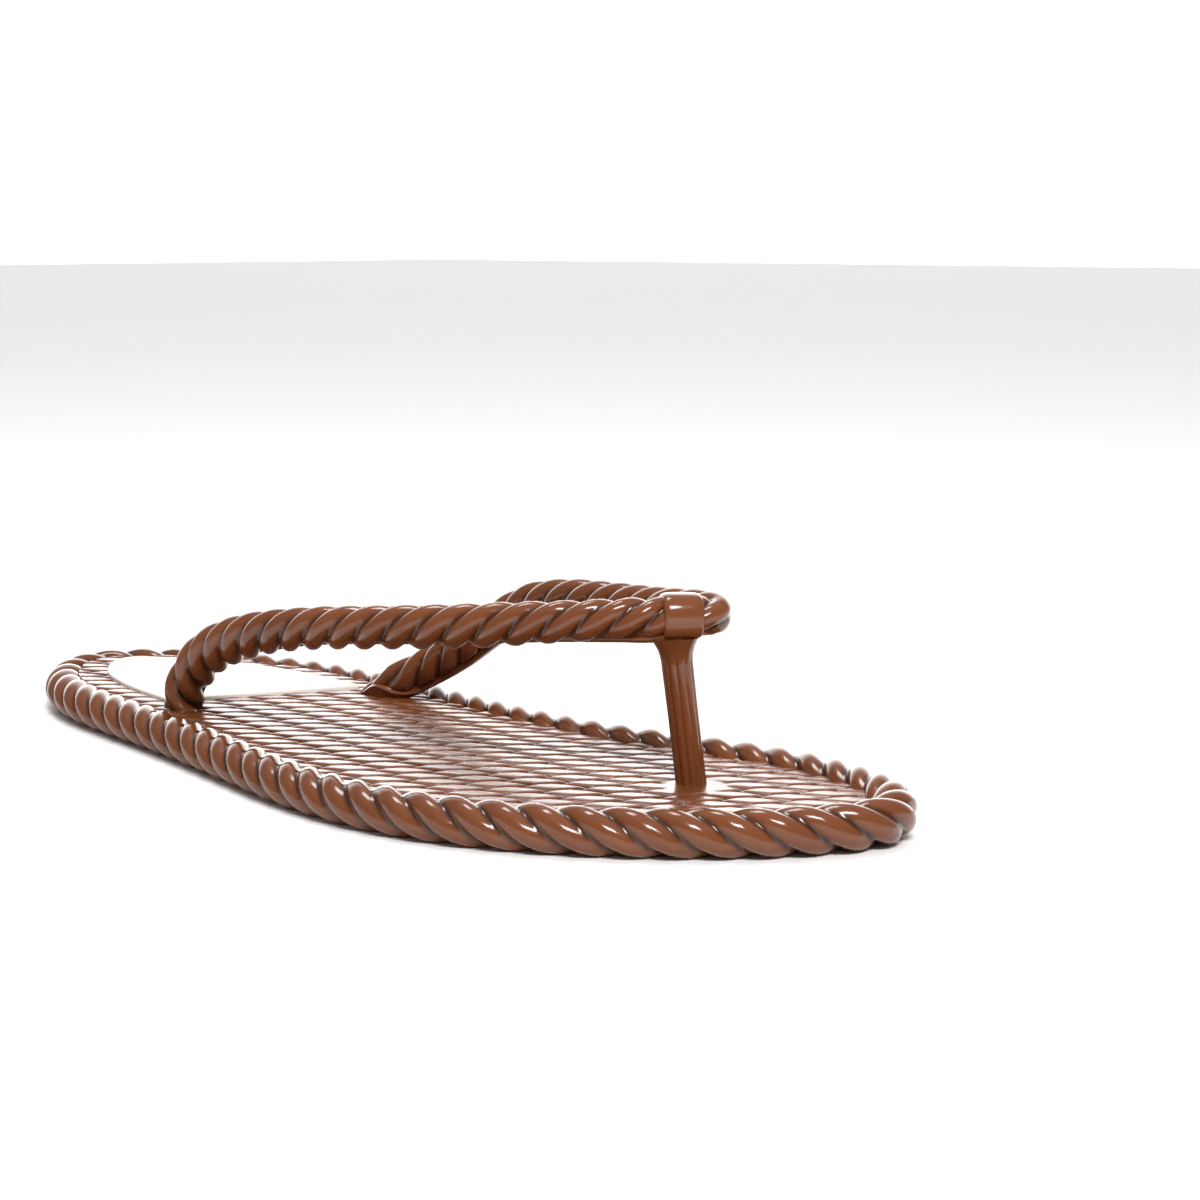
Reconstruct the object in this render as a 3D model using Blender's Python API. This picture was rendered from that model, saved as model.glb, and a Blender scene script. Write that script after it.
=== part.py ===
"""Flip flop with a twisted-rope rim and strap, right foot, EU size 38.

Frame: origin at the centre of the sole on the floor, +Z up, the toe towards
-Y, the outer (little toe) side towards -X.  Units are metres.
"""
import math

import bmesh
import bpy
from mathutils import Matrix, Vector

MM = 0.001

# ---- driving dimensions (millimetres unless noted) -------------------------
GAP = 0.3                 # assembly gap between neighbouring pieces
ROPE_R = 4.5              # radius of the rope that runs round the sole
RIM_SIDES = 16            # facets round the rim rope
OUTSOLE_TOP = 4.0         # the outsole runs from the floor to here
FOOTBED_BOTTOM = OUTSOLE_TOP + GAP
FOOTBED_POST_TOP = 6.0    # height of the footbed's top face beside the toe post
FOOTBED_SLOPE = 0.0097    # the top face rises this much per mm towards the heel
PATCH_THICK = 0.7

FLEX_Y = -91.0            # line across the sole where the toe end bends
CORE_INSET = ROPE_R + GAP  # sole core edge, measured in from the rope centre

PLUG_RECESS = 2.3         # depth of the pockets for the plugs under the sole
PLUG_BOTTOM = 0.5
PLUG_TOP = PLUG_RECESS - GAP
STEM_BOTTOM = PLUG_RECESS

STRAP_R = 4.4             # radius of the strap rope
STRAP_SIDES = 14
APEX = (0.0, -79.0, 38.7)  # where the two arms meet inside the collar
APEX_TURN = -38.0         # degrees from +X to the rope's direction there
COLLAR_LENGTH = 5.4
COLLAR_WALL = 0.7
POST_R = 2.75
POST_FOOT = (4.8, -78.6)
POST_TOP_Z = APEX[2] - STRAP_R - GAP - COLLAR_WALL - GAP

# Centre line of the rim rope, toe tip first, then round the outer side.
RIM_POINTS = (
    (8.5, -120.5), (-9.5, -113.2), (-25.0, -98.0), (-36.5, -79.5),
    (-43.5, -58.0), (-44.5, -37.0), (-40.5, -15.0), (-34.8, 4.0),
    (-28.6, 24.0), (-22.6, 45.0), (-17.2, 66.0), (-11.5, 86.0),
    (-3.0, 103.5), (9.5, 116.5), (22.0, 119.8), (33.5, 111.5),
    (41.5, 95.5), (45.2, 77.0), (45.0, 57.0), (41.8, 36.0),
    (37.2, 13.0), (32.8, -10.0), (31.0, -32.0), (32.2, -54.0),
    (33.5, -73.0), (31.5, -91.0), (23.5, -110.0),
)



def footbed_top(y):
    """Height of the footbed's top face on the line y."""
    return FOOTBED_POST_TOP + FOOTBED_SLOPE * (y - POST_FOOT[1])


def patch_bottom(y):
    return footbed_top(y) + GAP


def patch_top(y):
    return footbed_top(y) + GAP + PATCH_THICK


# Strap centre line: (x, y, z, radius), sole plug end first.
OUTER_ARM = (
    (-9.8, 51.8, STEM_BOTTOM, 2.0), (-9.8, 51.8, footbed_top(51.8) + GAP, 2.0),
    (-9.8, 51.8, footbed_top(51.8) + GAP + 0.1, 4.6), (-9.8, 51.8, 9.8, 4.6),
    (-10.2, 49.6, 14.0, 4.5),
    (-11.6, 44.0, 19.6, STRAP_R), (-13.6, 34.5, 24.2, STRAP_R),
    (-16.0, 20.0, 28.0, STRAP_R), (-17.6, 2.0, 30.6, STRAP_R),
    (-17.4, -17.0, 32.4, STRAP_R), (-15.6, -36.0, 34.3, STRAP_R),
    (-12.8, -51.0, 36.0, STRAP_R), (-10.0, -62.5, 37.3, STRAP_R),
    (-6.9, -71.0, 38.3, STRAP_R),
)
INNER_ARM = (
    (31.6, 32.0, STEM_BOTTOM, 2.0), (31.6, 32.0, footbed_top(32.0) + GAP, 2.0),
    (31.6, 32.0, footbed_top(32.0) + GAP + 0.1, 3.6), (31.6, 32.0, 9.8, 3.6),
    (31.8, 29.2, 13.0, 3.8), (32.4, 20.5, 15.6, 4.0), (32.2, 9.0, 19.6, STRAP_R),
    (31.4, -3.0, 27.0, STRAP_R), (30.0, -14.0, 32.0, STRAP_R),
    (27.4, -27.0, 34.2, STRAP_R), (23.6, -42.0, 35.2, STRAP_R),
    (18.8, -56.0, 36.2, STRAP_R), (14.0, -67.5, 37.5, STRAP_R),
    (11.0, -75.5, 38.4, STRAP_R), (8.6, -79.9, 38.7, STRAP_R),
    (5.8, -82.4, APEX[2], STRAP_R),
)
PLUG_R = {"outer": 4.4, "inner": 3.3, "toe": 5.5}
STEM_R = 2.0

# Material: base colour, roughness, metallic
MATERIALS = {
    "brown_pvc": ((0.19, 0.065, 0.028), 0.26, 0.0),
    "sole_rubber": ((0.13, 0.045, 0.02), 0.45, 0.0),
    "cream_patch": ((0.82, 0.74, 0.65), 0.5, 0.0),
}


# ---- helpers ---------------------------------------------------------------
def clear_scene():
    for obj in list(bpy.data.objects):
        bpy.data.objects.remove(obj, do_unlink=True)


def make_material(name):
    colour, roughness, metallic = MATERIALS[name]
    mat = bpy.data.materials.new(name)
    mat.use_nodes = True
    shader = mat.node_tree.nodes["Principled BSDF"]
    shader.inputs["Base Color"].default_value = (*colour, 1.0)
    shader.inputs["Roughness"].default_value = roughness
    shader.inputs["Metallic"].default_value = metallic
    mat.diffuse_color = (*colour, 1.0)
    return mat


def add_object(name, bm, mat, smooth=True):
    """Turn a bmesh (millimetres) into a named object in metres."""
    bmesh.ops.recalc_face_normals(bm, faces=bm.faces)
    bmesh.ops.transform(bm, matrix=Matrix.Scale(MM, 4), verts=bm.verts)
    mesh = bpy.data.meshes.new(name)
    bm.to_mesh(mesh)
    bm.free()
    mesh.materials.append(mat)
    obj = bpy.data.objects.new(name, mesh)
    bpy.context.scene.collection.objects.link(obj)
    if smooth:
        mesh.shade_smooth()
        mesh.set_sharp_from_angle(angle=math.radians(40))
    return obj


def catmull(p0, p1, p2, p3, t):
    """Point on a Catmull-Rom span, for tuples of any length."""
    out = []
    for a, b, c, d in zip(p0, p1, p2, p3):
        out.append(0.5 * (2 * b + (c - a) * t + (2 * a - 5 * b + 4 * c - d) * t * t
                          + (3 * b - a - 3 * c + d) * t ** 3))
    return tuple(out)


def closed_curve(points, steps):
    count = len(points)
    out = []
    for i in range(count):
        quad = [points[(i + k) % count] for k in (-1, 0, 1, 2)]
        out += [catmull(*quad, s / steps) for s in range(steps)]
    return out


def open_curve(points, steps):
    last = len(points) - 1
    out = []
    for i in range(last):
        quad = [points[min(max(i + k, 0), last)] for k in (-1, 0, 1, 2)]
        out += [catmull(*quad, s / steps) for s in range(steps)]
    return out + [points[last]]


def offset_outline(outline, inset):
    """Move a closed outline inwards by inset along its own normals."""
    count = len(outline)
    area = sum(outline[i][0] * outline[(i + 1) % count][1]
               - outline[(i + 1) % count][0] * outline[i][1] for i in range(count))
    side = 1.0 if area > 0 else -1.0
    out = []
    for i, (x, y) in enumerate(outline):
        ax, ay = outline[i - 1]
        bx, by = outline[(i + 1) % count]
        length = math.hypot(bx - ax, by - ay)
        out.append((x - side * (by - ay) / length * inset,
                    y + side * (bx - ax) / length * inset))
    return out


def clip_outline(outline, y_limit, keep_above):
    """Part of a closed outline on one side of the line y = y_limit."""
    sign = 1.0 if keep_above else -1.0
    out = []
    for i, point in enumerate(outline):
        follow = outline[(i + 1) % len(outline)]
        here = sign * (point[1] - y_limit)
        there = sign * (follow[1] - y_limit)
        if here >= 0:
            out.append(point)
        if here * there < 0:
            t = here / (here - there)
            out.append((point[0] + t * (follow[0] - point[0]), y_limit))
    return out


def slab(outline, bottom, top):
    """Plate with the given outline between two flat faces, each given as z of y."""
    bm = bmesh.new()
    base = [bm.verts.new((x, y, bottom(y))) for x, y in outline]
    lid = [bm.verts.new((x, y, top(y))) for x, y in outline]
    bm.faces.new(base)
    bm.faces.new(lid)
    for i in range(len(base)):
        j = (i + 1) % len(base)
        bm.faces.new((base[i], base[j], lid[j], lid[i]))
    return bm


def tube(path, sides, end_y=None):
    """Round bar along (x, y, z, radius) points; ends may be cut square to Y."""
    bm = bmesh.new()
    centres = [Vector(p[:3]) for p in path]
    rings = []
    up = Vector((0, 0, 1))
    last = len(path) - 1
    first_dir = (centres[1] - centres[0]).normalized()
    side = first_dir.cross(up)
    side = side.normalized() if side.length > 0.1 else Vector((1, 0, 0))
    for i, centre in enumerate(centres):
        along = (centres[min(i + 1, last)] - centres[max(i - 1, 0)]).normalized()
        side = (side - along * side.dot(along)).normalized()
        normal = side.cross(along).normalized()
        ring = []
        for k in range(sides):
            angle = 2 * math.pi * k / sides
            spoke = side * math.cos(angle) + normal * math.sin(angle)
            point = centre + spoke * path[i][3]
            if end_y is not None and i in (0, last):
                point += along * ((end_y - point.y) / along.y)
            ring.append(bm.verts.new(point))
        rings.append(ring)
    for a, b in zip(rings, rings[1:]):
        for k in range(sides):
            j = (k + 1) % sides
            bm.faces.new((a[k], a[j], b[j], b[k]))
    bm.faces.new(rings[0])
    bm.faces.new(rings[-1])
    return bm


def disc(x, y, radius, bottom, top, sides=28):
    bm = bmesh.new()
    bmesh.ops.create_cone(bm, cap_ends=True, segments=sides, radius1=radius,
                          radius2=radius, depth=top - bottom,
                          matrix=Matrix.Translation((x, y, (top + bottom) / 2)))
    return bm


def cut(target, cutter):
    """Subtract a helper solid from a part."""
    cutter.hide_render = True
    cutter.display_type = "WIRE"
    cutter.hide_set(True)
    mod = target.modifiers.new(cutter.name, "BOOLEAN")
    mod.operation = "DIFFERENCE"
    mod.solver = "EXACT"
    mod.object = cutter


# ---- sub-parts -------------------------------------------------------------
def anchor_spots():
    """Plan position of the three places where the strap goes through."""
    return {"outer": OUTER_ARM[0][:2], "inner": INNER_ARM[0][:2], "toe": POST_FOOT}


def build_sole(core, mats):
    """Outsole and footbed, each with a main piece and a bending toe piece."""
    main = clip_outline(core, FLEX_Y + GAP / 2, True)
    toe = clip_outline(core, FLEX_Y - GAP / 2, False)
    floor, middle, over = (lambda y: 0.0), (lambda y: OUTSOLE_TOP), (lambda y: FOOTBED_BOTTOM)
    outsole = add_object("outsole", slab(main, floor, middle), mats["sole_rubber"])
    footbed = add_object("footbed", slab(main, over, footbed_top), mats["brown_pvc"])
    add_object("outsole_toe", slab(toe, floor, middle), mats["sole_rubber"])
    add_object("footbed_toe", slab(toe, over, footbed_top), mats["brown_pvc"])
    for name, (x, y) in anchor_spots().items():
        stem = (POST_R if name == "toe" else STEM_R) + GAP
        hole = add_object("cut_stem_" + name, disc(x, y, stem, -1, 8), mats["brown_pvc"])
        pocket = add_object("cut_pocket_" + name,
                            disc(x, y, PLUG_R[name] + GAP, -1, PLUG_RECESS),
                            mats["brown_pvc"])
        cut(outsole, pocket)
        cut(outsole, hole)
        cut(footbed, hole)


def build_rim(outline, mat):
    """Rope round the sole: an open loop for the heel and one for the toe."""
    for name, y_cut, above in (("rim", FLEX_Y + GAP / 2, True),
                               ("rim_toe", FLEX_Y - GAP / 2, False)):
        flags = [(p[1] > y_cut) == above for p in outline]
        count = len(outline)
        start = next(i for i in range(count) if flags[i] and not flags[i - 1])
        run = []
        while flags[(start + len(run)) % count]:
            run.append(outline[(start + len(run)) % count])
        before = outline[start - 1]
        after = outline[(start + len(run)) % count]
        ends = []
        for inner, outer in ((run[0], before), (run[-1], after)):
            t = (y_cut - inner[1]) / (outer[1] - inner[1])
            ends.append((inner[0] + t * (outer[0] - inner[0]), y_cut))
        step = 2.5
        body = [p for p in run if math.dist(p, ends[0]) > step
                and math.dist(p, ends[1]) > step]
        path = [(x, y, ROPE_R, ROPE_R) for x, y in [ends[0]] + body + [ends[1]]]
        add_object(name, tube(path, RIM_SIDES, end_y=y_cut), mat)


def patch_outline(outline):
    """Comfort patch: follows the heel, cut straight in front."""
    inner = offset_outline(outline, 11.5)
    heel = [p for p in inner if p[1] > 56.0 - 0.42 * (p[0] + 2.0)]
    start = max(range(len(heel)), key=lambda i: math.dist(heel[i], heel[i - 1]))
    return heel[start:] + heel[:start]


def apex_point(distance):
    """Point on the rope's straight run through the collar, as (x, y, z, radius)."""
    turn = math.radians(APEX_TURN)
    return (APEX[0] + distance * math.cos(turn), APEX[1] + distance * math.sin(turn),
            APEX[2], STRAP_R)


def build_arms(mat):
    """Each arm: stem and foot, the curved rope, then a straight run to the apex."""
    for name, points, side in (("strap_arm_outer", OUTER_ARM, -1),
                               ("strap_arm_inner", INNER_ARM, 1)):
        near = COLLAR_LENGTH / 2 + 0.5
        curve = open_curve(list(points[3:]) + [apex_point(side * near)], 4)
        path = list(points[:3]) + curve + [apex_point(side * GAP / 2)]
        add_object(name, tube(path, STRAP_SIDES), mat)


def build_collar(mat):
    """Smooth band round the rope where it turns at the toe."""
    bm = bmesh.new()
    inner, outer = STRAP_R + GAP + 0.1, STRAP_R + GAP + COLLAR_WALL
    half = COLLAR_LENGTH / 2
    bead = 0.35
    profile = ((inner, -half), (outer - bead, -half), (outer, -half + bead),
               (outer, half - bead), (outer - bead, half), (inner, half))
    sides = 28
    rings = []
    turn = math.radians(APEX_TURN)
    for k in range(sides):
        angle = 2 * math.pi * k / sides
        ring = []
        for radius, along in profile:
            x, y, z, _ = apex_point(along)
            across = radius * math.cos(angle)
            ring.append(bm.verts.new((x - across * math.sin(turn), y + across * math.cos(turn),
                                      z + radius * math.sin(angle))))
        rings.append(ring)
    for k in range(sides):
        a, b = rings[k], rings[(k + 1) % sides]
        for i in range(len(profile)):
            j = (i + 1) % len(profile)
            bm.faces.new((a[i], a[j], b[j], b[i]))
    add_object("toe_collar", bm, mat)


def build_post(mat):
    """Toe post: stem through the sole, slim shaft, flare under the collar."""
    fx, fy = POST_FOOT
    top = POST_TOP_Z
    base = footbed_top(fy) + 2
    shaft = [(fx, fy, STEM_BOTTOM, POST_R), (fx, fy, base, POST_R)]
    for t, radius in ((0.35, POST_R - 0.1), (0.65, POST_R - 0.05), (0.85, POST_R + 0.15),
                      (0.94, POST_R + 0.7), (0.98, POST_R + 1.1),
                      (1.0, POST_R + 1.2)):
        share = min(t / 0.85, 1.0)         # the flare stands square under the collar
        shaft.append((fx + (APEX[0] - fx) * share, fy + (APEX[1] - fy) * share,
                      base + (top - base) * t, radius))
    add_object("toe_post", tube(shaft, 20), mat)


def build_plugs(mat):
    for name, (x, y) in anchor_spots().items():
        label = "toe_plug" if name == "toe" else "anchor_plug_" + name
        add_object(label, disc(x, y, PLUG_R[name], PLUG_BOTTOM, PLUG_TOP), mat)


def main():
    clear_scene()
    mats = {name: make_material(name) for name in MATERIALS}
    outline = closed_curve(RIM_POINTS, 4)
    core = offset_outline(outline, CORE_INSET)
    build_sole(core, mats)
    build_rim(outline, mats["brown_pvc"])
    add_object("heel_patch", slab(patch_outline(outline), patch_bottom, patch_top),
               mats["cream_patch"])
    build_arms(mats["brown_pvc"])
    build_collar(mats["brown_pvc"])
    build_post(mats["brown_pvc"])
    build_plugs(mats["brown_pvc"])


main()
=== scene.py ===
"""Looks for the twisted-rope flip flop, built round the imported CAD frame."""
import math

import bmesh
import bpy
import numpy as np
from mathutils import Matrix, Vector


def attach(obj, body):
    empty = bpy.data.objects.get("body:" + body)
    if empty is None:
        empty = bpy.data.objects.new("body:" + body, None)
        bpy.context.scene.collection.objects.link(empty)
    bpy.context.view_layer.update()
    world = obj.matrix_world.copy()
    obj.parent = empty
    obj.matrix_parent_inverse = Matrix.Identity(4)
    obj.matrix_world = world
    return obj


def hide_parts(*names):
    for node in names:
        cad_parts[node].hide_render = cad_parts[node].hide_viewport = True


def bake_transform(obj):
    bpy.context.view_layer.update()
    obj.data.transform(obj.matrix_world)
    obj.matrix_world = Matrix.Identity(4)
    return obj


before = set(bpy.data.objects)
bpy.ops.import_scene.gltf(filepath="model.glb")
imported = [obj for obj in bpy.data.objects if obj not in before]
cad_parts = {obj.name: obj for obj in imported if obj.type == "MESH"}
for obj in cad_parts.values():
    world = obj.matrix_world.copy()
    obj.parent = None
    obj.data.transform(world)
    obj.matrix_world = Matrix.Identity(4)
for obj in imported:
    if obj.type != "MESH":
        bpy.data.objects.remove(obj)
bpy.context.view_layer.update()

MM = 0.001
ROOT, TOE = "body", "toe_end"

# ---- sizes in millimetres --------------------------------------------------
ROPE_R = 4.5
ROPE_SIDES = 36           # points round a rope, a multiple of three
RIM_STRANDS = 69          # strands counted once round the sole
RIM_TWIST = -1.0          # handedness of the rim's strands
POST_FOOT = (4.8, -78.6)

SEAM_Z = 4.2              # where the outsole meets the footbed
FOOTBED_AT_POST = 6.0     # height of the footbed beside the toe post
FOOTBED_SLOPE = 0.0097
FOOTBED_INSET = 3.3       # from the middle of the rope to the edge of the footbed
OUTSOLE_INSET = 3.6
PAD_RADIUS = 5.2          # plain pad round the toe post, and the width of its fade
PAD_FADE = 3.5

WEAVE_STEPS = np.array(((1.45, 6.1), (7.35, -3.4)))   # from a grain to its neighbours
GRAIN_DIRECTION = np.array((0.712, -0.702))
GRAIN_LONG, GRAIN_WIDE = 6.9, 3.0
GRAIN_GAP = 0.95          # reach of the groove between two grains
GRAIN_ROUNDING = 3.4
WEAVE_RISE = 0.9          # depth of the relief, and how far its tops stand proud
WEAVE_PROUD = 0.1

PATCH_RISE = 0.75         # top of the heel patch above the footbed
PATCH_INSET = 9.9
PATCH_FRONT_Y, PATCH_FRONT_SLOPE = 56.0, 0.42

TREAD_DEPTH, TREAD_PITCH = 0.9, 6.5
TREAD_WAVE, TREAD_WAVELENGTH = 2.2, 18.0
TREAD_BORDER = 8.0        # from the middle of the rope to the first groove
POCKET_DEPTH = 2.35
PLUGS = (                 # x, y, radius of the plugs under the sole
    (*POST_FOOT, 5.5), (-9.8, 51.8, 4.4), (31.6, 32.0, 3.3),
)

STRAP_R = 4.45
STRAP_LAY = 22.8          # length of one full turn of the strap's twist
APEX_SLIMMING = 0.86      # the strap is thinner at the collar
ROLL_OUT = 88.0           # how far the flat band turns on each arm, in degrees
ROLL_IN = 70.0
APEX = np.array((0.0, -79.0, 38.7))
APEX_TURN = math.radians(-38.0)

COLLAR_HALF = 3.75        # half its length along the strap
COLLAR_ACROSS, COLLAR_RISE, COLLAR_FLOOR = 4.45, 4.4, -4.1
COLLAR_SQUARENESS = 2.35
POST_RADIUS, POST_FLARE = 3.0, 1.7
POST_FLUTES, FLUTE_DEPTH = 10, 0.34

# Centre line of the rim rope, toe tip first, then round the outer side.
RIM_POINTS = (
    (8.5, -120.5), (-9.5, -113.2), (-25.0, -98.0), (-36.5, -79.5),
    (-43.5, -58.0), (-44.5, -37.0), (-40.5, -15.0), (-34.8, 4.0),
    (-28.6, 24.0), (-22.6, 45.0), (-17.2, 66.0), (-11.5, 86.0),
    (-3.0, 103.5), (9.5, 116.5), (22.0, 119.8), (33.5, 111.5),
    (41.5, 95.5), (45.2, 77.0), (45.0, 57.0), (41.8, 36.0),
    (37.2, 13.0), (32.8, -10.0), (31.0, -32.0), (32.2, -54.0),
    (33.5, -73.0), (31.5, -91.0), (23.5, -110.0),
)
OUTER_ARM = (
    (-10.2, 52.2, 5.0), (-10.2, 52.2, 9.4), (-10.5, 49.9, 13.5), (-11.5, 44.2, 18.9),
    (-13.4, 34.5, 23.4), (-15.9, 20.0, 27.4), (-17.6, 2.0, 30.4),
    (-17.4, -17.0, 32.4), (-15.6, -36.0, 34.3), (-12.8, -51.0, 36.0),
    (-10.0, -62.5, 37.3), (-6.9, -71.0, 38.3),
)
INNER_ARM = (
    (30.7, 38.6, 6.0), (31.2, 34.5, 7.6), (32.0, 28.5, 10.4), (32.6, 19.5, 14.6),
    (32.2, 9.0, 19.8), (31.4, -3.0, 27.0), (30.0, -14.0, 32.0),
    (27.4, -27.0, 34.2), (23.6, -42.0, 35.2), (18.8, -56.0, 36.2),
    (14.0, -67.5, 37.5), (11.0, -75.4, 38.4), (8.8, -80.0, 38.7),
    (6.0, -82.4, 38.7),
)


# ---- curves ----------------------------------------------------------------
def catmull(points, closed, steps=24):
    """Smooth curve through the points, as an array."""
    points = np.asarray(points, float)
    count = len(points)
    spans = count if closed else count - 1
    out = []
    for i in range(spans):
        ids = [i - 1, i, i + 1, i + 2]
        ids = [k % count for k in ids] if closed else [min(max(k, 0), count - 1) for k in ids]
        a, b, c, d = points[ids]
        t = np.arange(steps)[:, None] / steps
        out.append(0.5 * (2 * b + (c - a) * t + (2 * a - 5 * b + 4 * c - d) * t ** 2
                          + (3 * b - a - 3 * c + d) * t ** 3))
    if not closed:
        out.append(points[-1:])
    return np.vstack(out)


def even(curve, step, closed):
    """Resample a curve to evenly spaced points; also returns the arc lengths."""
    loop = np.vstack([curve, curve[:1]]) if closed else curve
    arc = np.concatenate([[0], np.cumsum(np.linalg.norm(np.diff(loop, axis=0), axis=1))])
    count = int(round(arc[-1] / step))
    s = np.linspace(0, arc[-1], count + 1)
    pts = np.stack([np.interp(s, arc, loop[:, k]) for k in range(loop.shape[1])], 1)
    return (pts[:-1], s[:-1], arc[-1]) if closed else (pts, s, arc[-1])


def tangents(points, closed):
    """Unit tangents of a curve."""
    if closed:
        t = np.roll(points, -1, 0) - np.roll(points, 1, 0)
    else:
        t = np.gradient(points, axis=0)
    return t / np.linalg.norm(t, axis=1)[:, None]


def inset_outline(outline, inset):
    """Closed 2-D outline moved inwards."""
    t = tangents(outline, True)
    x, y = outline.T
    area = np.sum(x * np.roll(y, -1) - np.roll(x, -1) * y)
    side = 1.0 if area > 0 else -1.0
    return outline + side * inset * np.stack([-t[:, 1], t[:, 0]], 1)


def ease(t):
    """Smooth step from 0 to 1."""
    return t * t * (3 - 2 * t)


OUTLINE = catmull(RIM_POINTS, True)


def footbed_top(y):
    """The footbed rises gently from the toe post to the heel."""
    return FOOTBED_AT_POST + FOOTBED_SLOPE * (y - POST_FOOT[1])


# ---- mesh building ---------------------------------------------------------
def make_object(name, verts, faces, mat, sharp=50.0, painted_shade=()):
    """Mesh object from millimetre coordinates, with an optional mask on the points that marks
    the bottoms of grooves for painted shade.
    """
    mesh = bpy.data.meshes.new(name)
    mesh.from_pydata((np.asarray(verts) * MM).tolist(), [], faces)
    mesh.validate()
    if len(painted_shade):
        shade = np.zeros(len(verts))
        shade[:len(painted_shade)] = painted_shade
        mesh.attributes.new("painted_shade", "FLOAT", "POINT").data.foreach_set("value", shade)
    bm = bmesh.new()
    bm.from_mesh(mesh)
    bmesh.ops.recalc_face_normals(bm, faces=bm.faces)
    bm.to_mesh(mesh)
    bm.free()
    mesh.shade_smooth()
    mesh.set_sharp_from_angle(angle=math.radians(sharp))
    mesh.materials.append(mat)
    obj = bpy.data.objects.new(name, mesh)
    bpy.context.scene.collection.objects.link(obj)
    return obj


def grid_faces(rows, cols, wrap_cols, wrap_rows=False, shift=0):
    """Quads of a rows x cols grid; shift turns the seam of a closed sweep."""
    faces = []
    for i in range(rows if wrap_rows else rows - 1):
        last = wrap_rows and i == rows - 1
        a = i * cols
        b = ((i + 1) % rows) * cols
        for j in range(cols if wrap_cols else cols - 1):
            k = (j + 1) % cols
            jb, kb = (((j + shift) % cols, (k + shift) % cols) if last else (j, k))
            faces.append((a + j, a + k, b + kb, b + jb))
    return faces


def lobe_radius(delta, centre):
    """Outline of three fused strands; delta is the angle from a strand's middle."""
    strand = 1.0 - centre
    return centre * np.cos(delta) + np.sqrt(strand ** 2 - (centre * np.sin(delta)) ** 2)


def capped_tube(rows, cols):
    """Faces of a tube of rows rings with flat ends."""
    return grid_faces(rows, cols, True) + [
        tuple(range(cols)), tuple(range((rows - 1) * cols, rows * cols))]


def strand_angles():
    """Angles round a three-strand rope, closer together in the valleys."""
    per = ROPE_SIDES // 3
    t = (np.arange(per) + 0.5) / per * 2 - 1
    delta = np.sign(t) * (np.abs(t) ** 0.8) * math.radians(60)
    theta = np.concatenate([k * 2 * math.pi / 3 + delta for k in range(3)])
    return theta, np.tile(delta, 3)


def rope_verts(points, side, up, radius, twist, centre, floor=None):
    """Three-strand rope; twist is the turn of the strands at every point."""
    theta, delta = strand_angles()
    profile = lobe_radius(delta, centre)
    angle = twist[:, None] + theta[None, :]
    r = radius[:, None] * profile[None, :]
    across, rise = r * np.cos(angle), r * np.sin(angle)
    if floor is not None:
        rise = np.maximum(rise, floor)
    verts = (points[:, None] + across[..., None] * side[:, None]
             + rise[..., None] * up[:, None])
    return verts.reshape(-1, 3)


def rope_painted_shade_mask(rows):
    """How far into the groove between two strands each point of a rope lies, as a mask for
    painted shade in those grooves.
    """
    _, delta = strand_angles()
    return np.tile(np.clip((np.abs(delta) / math.radians(60) - 0.72) / 0.26, 0, 1), rows)


# ---- materials -------------------------------------------------------------
GLOSS_SPREAD = 0.06
PAINTED_GROOVE_SHADE = 0.1        # share of the colour left at the bottom of a groove, as painted shade


def node_mat(name, base, dark, light, roughness, bump=0.04, grain=900.0):
    """Moulded plastic: clouded colour, uneven gloss and a fine surface grain, with painted
    shade darkening the colour at the bottoms of grooves where the mesh carries the groove
    mask.
    """
    mat = bpy.data.materials.new(name)
    mat.use_nodes = True
    tree = mat.node_tree
    shader = tree.nodes["Principled BSDF"]
    coords = tree.nodes.new("ShaderNodeTexCoord")

    def noise(scale, detail):
        node = tree.nodes.new("ShaderNodeTexNoise")
        node.inputs["Scale"].default_value = scale
        node.inputs["Detail"].default_value = detail
        tree.links.new(coords.outputs["Object"], node.inputs["Vector"])
        return node.outputs["Fac"]

    ramp = tree.nodes.new("ShaderNodeValToRGB")
    stops = ramp.color_ramp.elements
    stops[0].position, stops[0].color = 0.3, (*dark, 1)
    stops[1].position, stops[1].color = 0.72, (*light, 1)
    middle = stops.new(0.5)
    middle.color = (*base, 1)
    tree.links.new(noise(38.0, 4.0), ramp.inputs["Fac"])
    # painted shade: the groove mask on the mesh darkens the colour towards the bottoms of the
    # grooves between strands and between grains
    groove = tree.nodes.new("ShaderNodeAttribute")
    groove.attribute_name = "painted_shade"
    shade = tree.nodes.new("ShaderNodeMix")
    shade.data_type = "RGBA"
    shade.inputs["B"].default_value = (*(PAINTED_GROOVE_SHADE * c for c in base), 1)
    tree.links.new(groove.outputs["Fac"], shade.inputs["Factor"])
    tree.links.new(ramp.outputs["Color"], shade.inputs["A"])
    tree.links.new(shade.outputs["Result"], shader.inputs["Base Color"])

    gloss = tree.nodes.new("ShaderNodeMapRange")
    gloss.inputs["To Min"].default_value = roughness - GLOSS_SPREAD
    gloss.inputs["To Max"].default_value = roughness + GLOSS_SPREAD
    tree.links.new(noise(120.0, 3.0), gloss.inputs["Value"])
    tree.links.new(gloss.outputs["Result"], shader.inputs["Roughness"])

    relief = tree.nodes.new("ShaderNodeBump")
    relief.inputs["Strength"].default_value = bump
    relief.inputs["Distance"].default_value = 0.0004
    tree.links.new(noise(grain, 2.0), relief.inputs["Height"])
    tree.links.new(relief.outputs["Normal"], shader.inputs["Normal"])
    shader.inputs["IOR"].default_value = 1.5
    return mat


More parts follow.
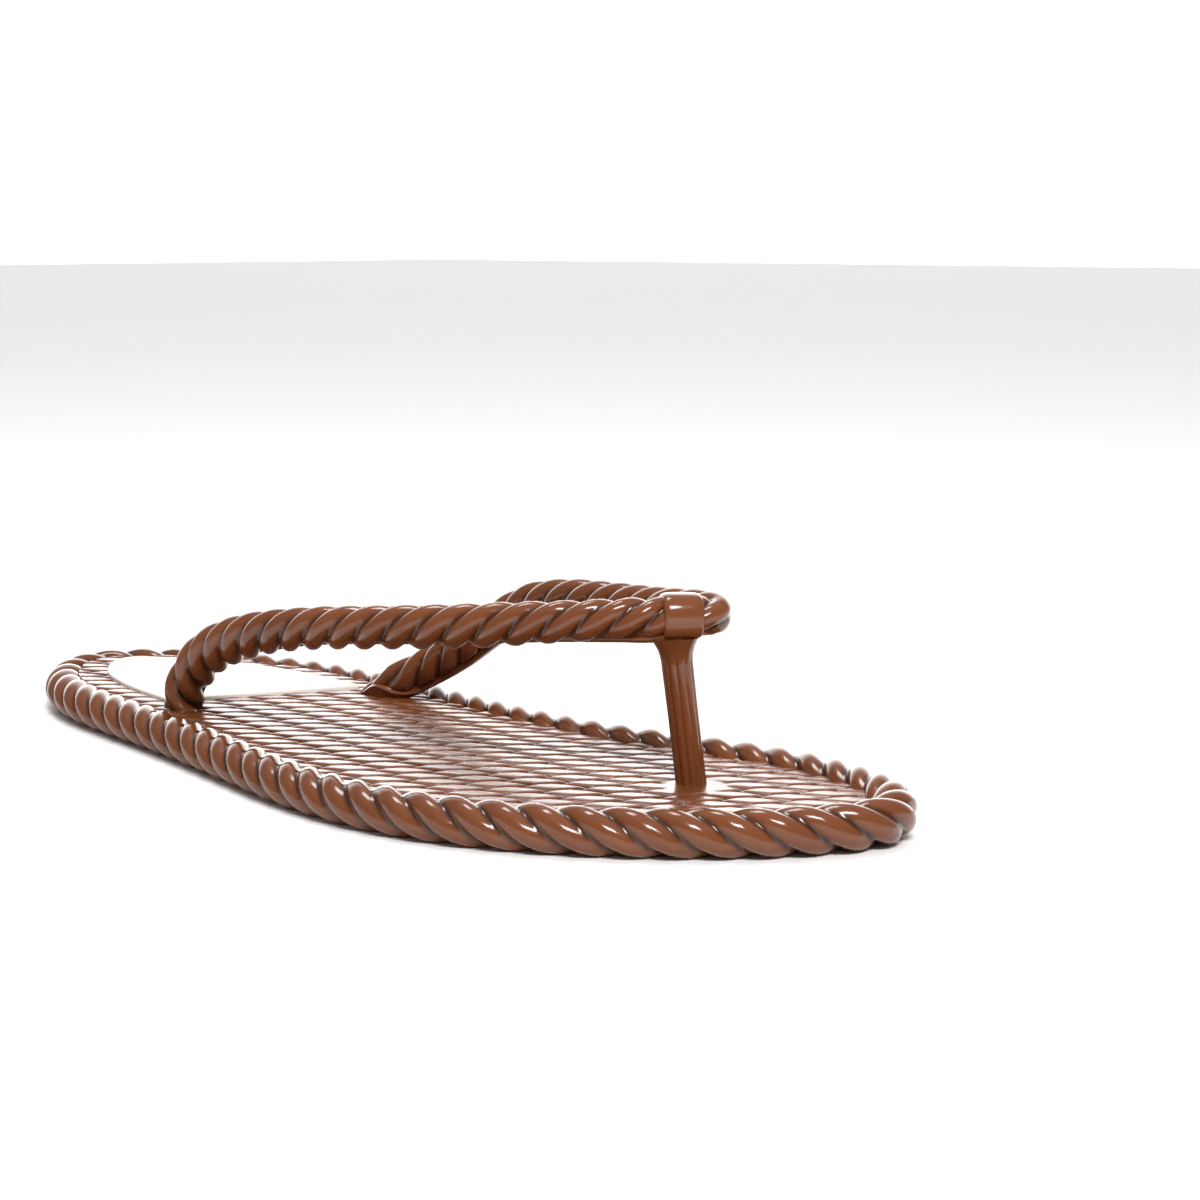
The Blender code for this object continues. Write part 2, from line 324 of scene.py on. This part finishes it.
def make_materials():
    """Brown PVC in three finishes, dark sole rubber and the cream pad."""
    brown, dark, light = (0.15, 0.044, 0.0135), (0.13, 0.037, 0.011), (0.175, 0.053, 0.017)
    return {
        "rope": node_mat("rope_pvc", brown, dark, light, 0.16),
        "strap": node_mat("strap_pvc", brown, dark, light, 0.14),
        "weave": node_mat("footbed_pvc", brown, dark, light, 0.27, bump=0.09),
        "sole": node_mat("sole_rubber", (0.13, 0.047, 0.021), (0.10, 0.036, 0.016),
                         (0.16, 0.06, 0.028), 0.48, bump=0.2, grain=1500.0),
        "patch": node_mat("patch_cream", (0.84, 0.78, 0.72), (0.80, 0.73, 0.67),
                          (0.88, 0.83, 0.78), 0.42, bump=0.12, grain=1300.0),
    }


# ---- pieces ----------------------------------------------------------------
def build_rim(mat):
    """One closed rope round the sole, lying on the floor."""
    points, arc, length = even(OUTLINE, 0.6, True)
    t = tangents(points, True)
    centre = np.column_stack([points, np.full(len(points), ROPE_R)])
    side = np.column_stack([t[:, 1], -t[:, 0], np.zeros(len(t))])
    up = np.tile((0.0, 0.0, 1.0), (len(t), 1))
    twist = RIM_TWIST * arc / length * RIM_STRANDS * 2 * math.pi / 3
    verts = rope_verts(centre, side, up, np.full(len(t), ROPE_R), twist, centre=0.39)
    shift = int(round(RIM_TWIST * RIM_STRANDS * ROPE_SIDES / 3)) % ROPE_SIDES
    obj = make_object("rope_rim", verts,
                      grid_faces(len(t), ROPE_SIDES, True, True, shift), mat, sharp=60,
                      painted_shade=rope_painted_shade_mask(len(t)))
    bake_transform(obj)
    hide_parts("rim", "rim_toe")


def weave_height(x, y):
    """Relief of the footbed: plump lens-shaped grains, staggered like a woven mat."""
    basis = WEAVE_STEPS.T
    cell = np.floor(np.einsum("ij,j...->i...", np.linalg.inv(basis), np.stack([x, y])))
    along, across = GRAIN_DIRECTION, np.array((-GRAIN_DIRECTION[1], GRAIN_DIRECTION[0]))
    first = np.full(x.shape, 1e9)
    second = np.full(x.shape, 1e9)
    for i in range(-2, 4):
        for j in range(-2, 4):
            cx = basis[0, 0] * (cell[0] + i) + basis[0, 1] * (cell[1] + j)
            cy = basis[1, 0] * (cell[0] + i) + basis[1, 1] * (cell[1] + j)
            u = ((x - cx) * along[0] + (y - cy) * along[1]) / GRAIN_LONG
            v = ((x - cx) * across[0] + (y - cy) * across[1]) / GRAIN_WIDE
            far = np.hypot(u, v)
            second = np.minimum(second, np.maximum(first, far))
            first = np.minimum(first, far)
    edge = np.clip((second - first) / GRAIN_GAP, 0, 1)
    return 1 - (1 - edge) ** GRAIN_ROUNDING


def spans(outline, rows):
    """Left and right edge of a closed outline on a set of y lines."""
    y0, y1 = outline[:, 1].min(), outline[:, 1].max()
    ys = np.interp(np.linspace(0, 1, rows), [0, 0.02, 0.98, 1],
                   [y0 + 0.02, y0 + 2.0, y1 - 2.0, y1 - 0.02])
    a, b = outline, np.roll(outline, -1, 0)
    left, right = [], []
    for y in ys:
        hit = (a[:, 1] - y) * (b[:, 1] - y) < 0
        t = (y - a[hit, 1]) / (b[hit, 1] - a[hit, 1])
        xs = a[hit, 0] + t * (b[hit, 0] - a[hit, 0])
        left.append(xs.min())
        right.append(xs.max())
    return ys, np.array(left), np.array(right)


def relief_slab(name, outline, rows, cols, relief, mat, groove=None):
    """Slab with a flat face at the seam and a shaped face at relief(x, y)."""
    ys, left, right = spans(outline, rows)
    t = np.linspace(0, 1, cols)
    x = left[:, None] + (right - left)[:, None] * t[None, :]
    y = np.repeat(ys[:, None], cols, 1)
    shaped = np.stack([x, y, relief(x, y)], -1).reshape(-1, 3)
    rim = ([(0, j) for j in range(cols)] + [(i, cols - 1) for i in range(1, rows)]
           + [(rows - 1, j) for j in range(cols - 2, -1, -1)]
           + [(i, 0) for i in range(rows - 2, 0, -1)])
    ids = [i * cols + j for i, j in rim]
    flat = shaped[ids].copy()
    flat[:, 2] = SEAM_Z
    base = len(shaped)
    faces = grid_faces(rows, cols, False)
    count = len(ids)
    for k in range(count):
        m = (k + 1) % count
        faces.append((ids[k], ids[m], base + m, base + k))
    left_ids = [base + (count - i) % count for i in range(rows)]
    right_ids = [base + cols - 1 + i for i in range(rows)]
    faces.append(tuple(range(base, base + cols)) + (right_ids[1], left_ids[1]))
    for i in range(1, rows - 2):             # narrow strips, so the flat face can bend
        faces.append((left_ids[i], right_ids[i], right_ids[i + 1], left_ids[i + 1]))
    faces.append((left_ids[-2], right_ids[-2])
                 + tuple(range(right_ids[-1], left_ids[-1] + 1)))
    # painted shade: the groove function gives the mask that darkens the colour in the grooves
    # of the shaped face
    painted_shade = groove(x, y).ravel() if groove else ()
    return make_object(name, np.vstack([shaped, flat]), faces, mat, sharp=60, painted_shade=painted_shade)


def woven_share(x, y):
    """1 on the woven field, falling to 0 on the plain pad round the toe post."""
    near = np.hypot(x - POST_FOOT[0] + 0.8, (y - POST_FOOT[1] + 1.5) * 1.05)
    return ease(np.clip((near - PAD_RADIUS) / PAD_FADE, 0, 1))


def footbed_relief(x, y):
    """Height of the footbed: grains on the woven field, a level pad at the post."""
    height = footbed_top(y) + WEAVE_PROUD - WEAVE_RISE * (1 - weave_height(x, y))
    calm = footbed_top(y) + 0.05
    return calm + (height - calm) * woven_share(x, y)


def footbed_painted_shade_mask(x, y):
    """How far into the groove between grains each point of the footbed lies, as a mask for
    painted shade in those grooves.
    """
    return np.clip((0.6 - weave_height(x, y)) / 0.5, 0, 1) * woven_share(x, y)


def build_footbed(mat):
    """Woven-texture footbed inside the rim."""
    outline = inset_outline(OUTLINE, FOOTBED_INSET)
    obj = relief_slab("woven_footbed", outline, 640, 220, footbed_relief, mat,
                      footbed_painted_shade_mask)
    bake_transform(obj)
    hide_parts("footbed", "footbed_toe")


def tread_relief(x, y):
    """Underside: shallow wave grooves inside a plain border, and three round pockets."""
    bent = y + TREAD_WAVE * np.sin(x * 2 * math.pi / TREAD_WAVELENGTH)
    wave = np.abs((bent / TREAD_PITCH) % 1.0 - 0.5) * 2
    groove = np.clip((wave - 0.72) / 0.14, 0, 1)
    edge = np.full(x.shape, 1e9)
    for px, py in OUTLINE[::2]:
        edge = np.minimum(edge, np.hypot(x - px, y - py))
    height = TREAD_DEPTH * groove * np.clip((edge - TREAD_BORDER) / 0.6, 0, 1)
    for cx, cy, radius in PLUGS:
        far = np.hypot(x - cx, y - cy)
        height *= np.clip((far - radius - 2.4) / 0.6, 0, 1)
        height += POCKET_DEPTH * np.clip((radius + 0.9 - far) / 0.5, 0, 1)
    return height


def build_outsole(mat):
    """Outsole with its tread facing the floor."""
    outline = inset_outline(OUTLINE, OUTSOLE_INSET)
    obj = relief_slab("tread_outsole", outline, 480, 190, tread_relief, mat)
    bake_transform(obj)
    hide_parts("outsole", "outsole_toe")


def build_patch(mat):
    """Cream pad at the heel: a thin slab with a slightly rounded edge."""
    inner = inset_outline(OUTLINE, PATCH_INSET)
    keep = inner[:, 1] > PATCH_FRONT_Y - PATCH_FRONT_SLOPE * (inner[:, 0] + 2.0)
    heel = inner[keep]
    gap = np.linalg.norm(heel - np.roll(heel, 1, 0), axis=1).argmax()
    heel = np.roll(heel, -gap, 0)
    outline = round_corners(heel, 1.5)
    layers = ((0.0, -1.2), (0.0, -0.3), (0.12, -0.1), (0.35, 0.0))   # inset, height
    rings = []
    for inset, z in layers:
        ring = inset_outline(outline, inset)
        rings.append(np.column_stack([ring, footbed_top(ring[:, 1]) + PATCH_RISE + z]))
    obj = make_object("comfort_patch", np.vstack(rings),
                      capped_tube(len(layers), len(outline)), mat)
    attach(obj, ROOT)
    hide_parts("heel_patch")


def round_corners(outline, radius):
    """Evenly sampled closed outline with its corners smoothed."""
    step = 0.5
    points = even(outline, step, True)[0]
    width = int(radius / step)
    kernel = np.hanning(2 * width + 1)
    kernel /= kernel.sum()
    out = np.zeros_like(points)
    for k, weight in zip(range(-width, width + 1), kernel):
        out += weight * np.roll(points, k, 0)
    return out


def strap_path():
    """Whole strap from the outer anchor over the apex to the inner anchor."""
    turn = np.array((math.cos(APEX_TURN), math.sin(APEX_TURN), 0.0))
    before, after = APEX - 3.2 * turn, APEX + 3.2 * turn
    points = list(OUTER_ARM) + [before, APEX, after] + list(INNER_ARM)[::-1]
    curve = catmull(points, False)
    pts, arc, _ = even(curve, 0.5, False)
    for _ in range(6):
        pts[1:-1] = (pts[:-2] + 2 * pts[1:-1] + pts[2:]) / 4
    apex = np.linalg.norm(pts - APEX, axis=1).argmin()
    return pts, arc, apex


def carry_frame(points, apex):
    """Side and up directions carried along the strap from the level apex."""
    t = tangents(points, False)
    up = np.zeros_like(points)
    up[apex] = (0, 0, 1)
    for order in (range(apex + 1, len(points)), range(apex - 1, -1, -1)):
        previous = up[apex]
        for i in order:
            u = previous - t[i] * np.dot(previous, t[i])
            up[i] = previous = u / np.linalg.norm(u)
    return t, up


def strap_radius(arc, apex, length):
    """Radius along the strap: slim at the collar, full at the outer arm's bend."""
    slim = np.clip((np.abs(arc - arc[apex]) - 6.0) / 40.0, 0, 1)
    landing = np.clip((length - arc) / 11.0, 0, 1)     # the inner arm ends in a low tongue
    radius = STRAP_R * (APEX_SLIMMING + (1 - APEX_SLIMMING) * ease(slim))
    radius *= 1 + 0.13 * np.exp(-((arc - 24.0) / 20.0) ** 2)
    return radius * (0.35 + 0.65 * landing ** 0.8)


def build_strap(mat):
    """Both arms: a three-strand rope with a flat band moulded along its underside."""
    points, arc, apex = strap_path()
    t, up = carry_frame(points, apex)
    side = np.cross(t, up)
    length = arc[-1]
    # the underside turns towards the foot on the way down to the sole
    late = np.clip((arc - length + 17.0) / 12.0, 0, 1)
    roll = (math.radians(ROLL_OUT) * (1 - np.exp(-np.clip(arc[apex] - arc, 0, None) / 13.0))
            + math.radians(ROLL_IN) * ease(late))
    up = up * np.cos(roll)[:, None] + side * np.sin(roll)[:, None]
    side = np.cross(t, up)
    radius = strap_radius(arc, apex, length)
    twist = arc / STRAP_LAY * 2 * math.pi
    taper = np.clip(arc / 9.0, 0, 1)
    band_width = {
        "strap_arm_outer": (0.65 + 0.35 * taper) * np.clip(0.1 + arc / 45.0, 0, 1),
        "strap_arm_inner": 0.15 + 0.6 * late,
    }
    for name, node, lo, hi in (
            ("strap_rope_outer", "strap_arm_outer", 0, apex + 1),
            ("strap_rope_inner", "strap_arm_inner", apex, len(points))):
        part = slice(lo, hi)
        rope = rope_verts(points[part], side[part], up[part], radius[part],
                          twist[part], centre=0.43, floor=-0.78 * STRAP_R)
        rows = hi - lo
        band, band_faces = ribbon(points[part], side[part], up[part], radius[part],
                                  len(rope), band_width[node][part])
        obj = make_object(name, np.vstack([rope, band]),
                          capped_tube(rows, ROPE_SIDES) + band_faces, mat, sharp=60,
                          painted_shade=rope_painted_shade_mask(rows))
        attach(obj, ROOT)
        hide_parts(node)


def ribbon(points, side, up, radius, base, wide):
    """Flat moulded band along the underside of the strap rope, in rope radii."""
    half_w, top, bottom = 0.86, -0.62, -0.98
    corner = [(-0.90, top), (-1.0, top - 0.08), (-1.0, bottom + 0.12), (-0.92, bottom),
              (-0.4, bottom - 0.01), (0.4, bottom - 0.01), (0.92, bottom),
              (1.0, bottom + 0.12), (1.0, top - 0.08), (0.90, top)]
    rings = [points + side * (across * half_w * radius * wide)[:, None]
             + up * (rise * radius)[:, None] for across, rise in corner]
    faces = [tuple(base + k for k in face)
             for face in capped_tube(len(points), len(corner))]
    return np.stack(rings, 1).reshape(-1, 3), faces


def build_collar(mat):
    """Smooth saddle band that wraps the rope above the toe post."""
    turn = np.array((math.cos(APEX_TURN), math.sin(APEX_TURN), 0.0))
    across = np.array((-turn[1], turn[0], 0.0))
    stations = (           # place along the collar in half lengths, and its swelling
        (-1, 0.8), (-0.99, 0.87), (-0.95, 0.93), (-0.86, 0.98), (-0.7, 1.01),
        (-0.35, 1.02), (0, 1.01), (0.35, 1.0), (0.7, 0.985), (0.86, 0.96),
        (0.95, 0.92), (0.99, 0.87), (1, 0.81),
    )
    angles = np.linspace(0, 2 * math.pi, 56, endpoint=False)
    power = COLLAR_SQUARENESS
    c, s = np.cos(angles), np.sin(angles)
    r = (np.abs(c) ** power + np.abs(s) ** power) ** (-1 / power)
    ring_x = COLLAR_ACROSS * r * c
    ring_z = np.maximum(COLLAR_RISE * r * s, COLLAR_FLOOR)
    verts = []
    for a, k in stations:
        verts.append(APEX + turn * (a * COLLAR_HALF + 0.5) + across * (ring_x * k)[:, None]
                     + np.array((0, 0, 1.0)) * (ring_z * k)[:, None])
    obj = make_object("saddle_collar", np.vstack(verts),
                      capped_tube(len(stations), len(angles)), mat, sharp=60)
    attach(obj, ROOT)
    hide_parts("toe_collar")


def build_post(mat):
    """Fluted toe post with a plain flare under the strap."""
    foot = np.array((POST_FOOT[0] + 0.9, POST_FOOT[1] + 0.8, 5.0))
    top = APEX + (-0.5, 0.5, -3.9)
    rows, cols = 90, 80
    t = np.linspace(0, 1, rows)
    flare = np.clip((t - 0.82) / 0.18, 0, 1)
    radius = (POST_RADIUS - 0.08 * np.sin(math.pi * np.clip(t / 0.8, 0, 1))
              + POST_FLARE * flare ** 2.2)
    depth = FLUTE_DEPTH * np.clip((0.93 - t) / 0.1, 0, 1)
    angles = np.linspace(0, 2 * math.pi, cols, endpoint=False)
    groove = np.abs(np.sin(angles * POST_FLUTES / 2)) ** 0.8
    verts = []
    for i in range(rows):
        centre = foot + (top - foot) * t[i]
        r = radius[i] - depth[i] * (1 - groove)
        verts.append(centre + np.column_stack([r * np.cos(angles), r * np.sin(angles),
                                               np.zeros(cols)]))
    obj = make_object("fluted_post", np.vstack(verts), capped_tube(rows, cols), mat)
    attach(obj, ROOT)
    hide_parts("toe_post")


def finish_plugs(mat):
    """The three plugs under the sole keep their solids and get the rubber finish."""
    for name in ("toe_plug", "anchor_plug_outer", "anchor_plug_inner"):
        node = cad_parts[name]
        for slot in node.material_slots:
            slot.material = mat


# ---- camera, light, floor --------------------------------------------------
CAMERA_AT = (-384.6, -402.2, 110.9)
CAMERA_HEADING = (0.74667, 0.66520)
CAMERA_PITCH = math.radians(7.841)    # downwards
LENS = 81.7
BACKDROP_SIDE = (0.7467, 0.6652, 0.0)
BACKDROP_EDGE, BACKDROP_FULL = 0.58, 0.97    # cosines of the angle from its middle
ROOM_LIGHT, BACKDROP_LIGHT = 0.32, 4.0


def build_camera():
    """Low camera on the outer side, ahead of the toe."""
    data = bpy.data.cameras.new("camera")
    data.sensor_width = 36.0
    data.lens = LENS
    data.clip_start, data.clip_end = 0.01, 50
    cam = bpy.data.objects.new("camera", data)
    bpy.context.scene.collection.objects.link(cam)
    cam.location = Vector(CAMERA_AT) * MM
    level = math.cos(CAMERA_PITCH)
    look = Vector((CAMERA_HEADING[0] * level, CAMERA_HEADING[1] * level,
                   -math.sin(CAMERA_PITCH)))
    cam.rotation_euler = look.to_track_quat("-Z", "Y").to_euler()
    bpy.context.scene.camera = cam


def area_light(name, location, size, power):
    """Rectangular light aimed at the middle of the sole; metres and watts."""
    data = bpy.data.lights.new(name, "AREA")
    data.shape = "RECTANGLE"
    data.size, data.size_y = size
    data.energy = power
    obj = bpy.data.objects.new(name, data)
    bpy.context.scene.collection.objects.link(obj)
    obj.location = location
    direction = -Vector(location)
    obj.rotation_euler = direction.to_track_quat("-Z", "Y").to_euler()


def build_world():
    """Dim room with a bright low backdrop behind the object."""
    world = bpy.data.worlds.new("studio")
    bpy.context.scene.world = world
    world.use_nodes = True
    tree = world.node_tree
    background = tree.nodes["Background"]
    coords = tree.nodes.new("ShaderNodeTexCoord")
    facing = tree.nodes.new("ShaderNodeVectorMath")
    facing.operation = "DOT_PRODUCT"
    facing.inputs[1].default_value = BACKDROP_SIDE
    tree.links.new(coords.outputs["Generated"], facing.inputs[0])
    sweep = tree.nodes.new("ShaderNodeMapRange")
    sweep.interpolation_type = "SMOOTHSTEP"
    sweep.inputs["From Min"].default_value = BACKDROP_EDGE
    sweep.inputs["From Max"].default_value = BACKDROP_FULL
    sweep.inputs["To Min"].default_value = ROOM_LIGHT
    sweep.inputs["To Max"].default_value = BACKDROP_LIGHT
    tree.links.new(facing.outputs["Value"], sweep.inputs["Value"])
    tree.links.new(sweep.outputs["Result"], background.inputs["Strength"])
    background.inputs["Color"].default_value = (1, 1, 1, 1)
    bpy.context.scene.view_settings.view_transform = "Standard"


def build_floor():
    """Plain pale floor just under the rope."""
    mesh = bpy.data.meshes.new("floor")
    half = 6.0
    mesh.from_pydata([(-half, -half, 0), (half, -half, 0), (half, half, 0),
                      (-half, half, 0)], [], [(0, 1, 2, 3)])
    floor = bpy.data.objects.new("floor", mesh)
    bpy.context.scene.collection.objects.link(floor)
    floor.location.z = -0.00005
    mat = bpy.data.materials.new("floor_white")
    mat.use_nodes = True
    shader = mat.node_tree.nodes["Principled BSDF"]
    shader.inputs["Base Color"].default_value = (0.93, 0.93, 0.93, 1)
    shader.inputs["Roughness"].default_value = 0.6
    shader.inputs["Specular IOR Level"].default_value = 0.2
    mesh.materials.append(mat)


def build_lights():
    """Two small softboxes for the streaks on the strands, and a wide soft fill."""
    area_light("front_softbox", (-0.31, -0.47, 0.5), (0.3, 0.14), 4.8)
    area_light("top_softbox", (0.05, 0.2, 0.95), (0.32, 0.22), 3)
    area_light("overhead", (0, 0, 1.6), (2.4, 2.4), 5.5)


def main():
    mats = make_materials()
    build_rim(mats["rope"])
    build_footbed(mats["weave"])
    build_outsole(mats["sole"])
    build_patch(mats["patch"])
    build_strap(mats["strap"])
    build_collar(mats["strap"])
    build_post(mats["strap"])
    finish_plugs(mats["sole"])
    build_camera()
    build_world()
    build_floor()
    build_lights()


main()
